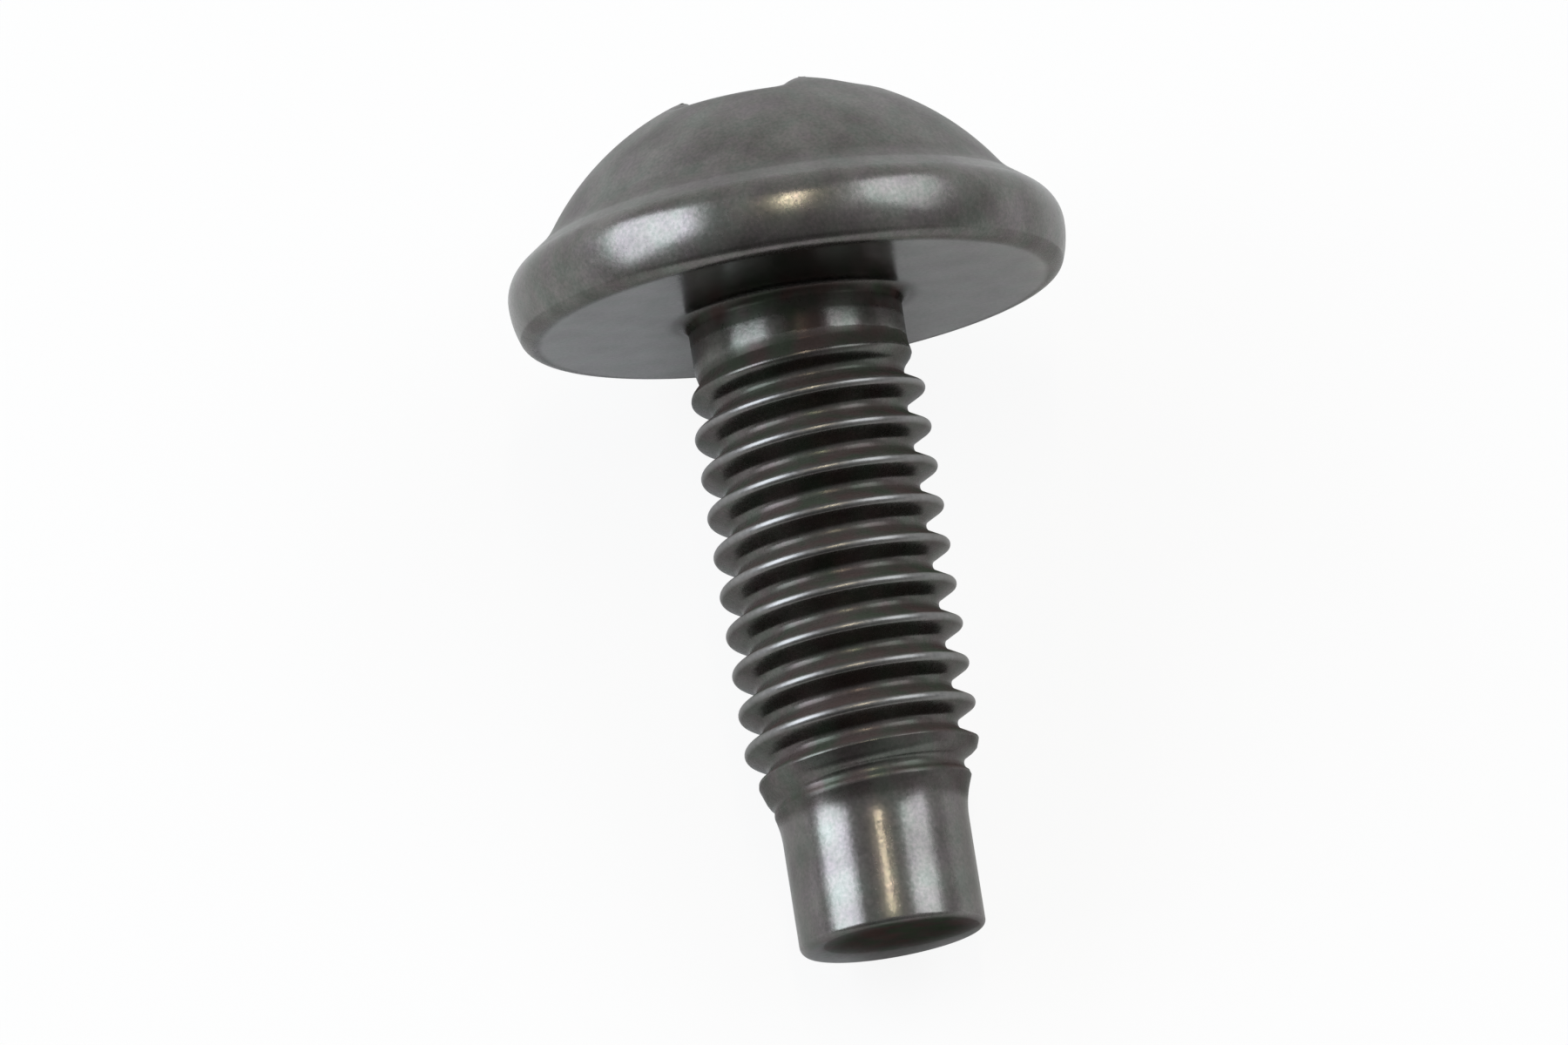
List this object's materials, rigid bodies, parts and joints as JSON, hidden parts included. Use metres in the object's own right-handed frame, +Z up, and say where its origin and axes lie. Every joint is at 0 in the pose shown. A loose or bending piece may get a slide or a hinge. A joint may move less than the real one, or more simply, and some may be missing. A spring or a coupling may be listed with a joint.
{
  "type": "machine screw",
  "caption": "Dark steel machine screw with a domed flange head, a cross recess, a rolled thread and a plain dog point, lying on its rim and point.",
  "frame": {"origin": "middle of the screw's bounding box, on the surface it lies on", "axes": "+X along the surface from the head towards the point, +Z up. The screw's own axis dips 15.5 degrees below +X, because it rests on the head's rim and on the edge of the point."},
  "size_m": [0.0217, 0.0138, 0.0135],
  "materials": {
    "dark_steel": "dark satin, as forged and rolled"
  },
  "bodies": {
    "root": {"screw": "dark_steel"}
  },
  "joints": []
}
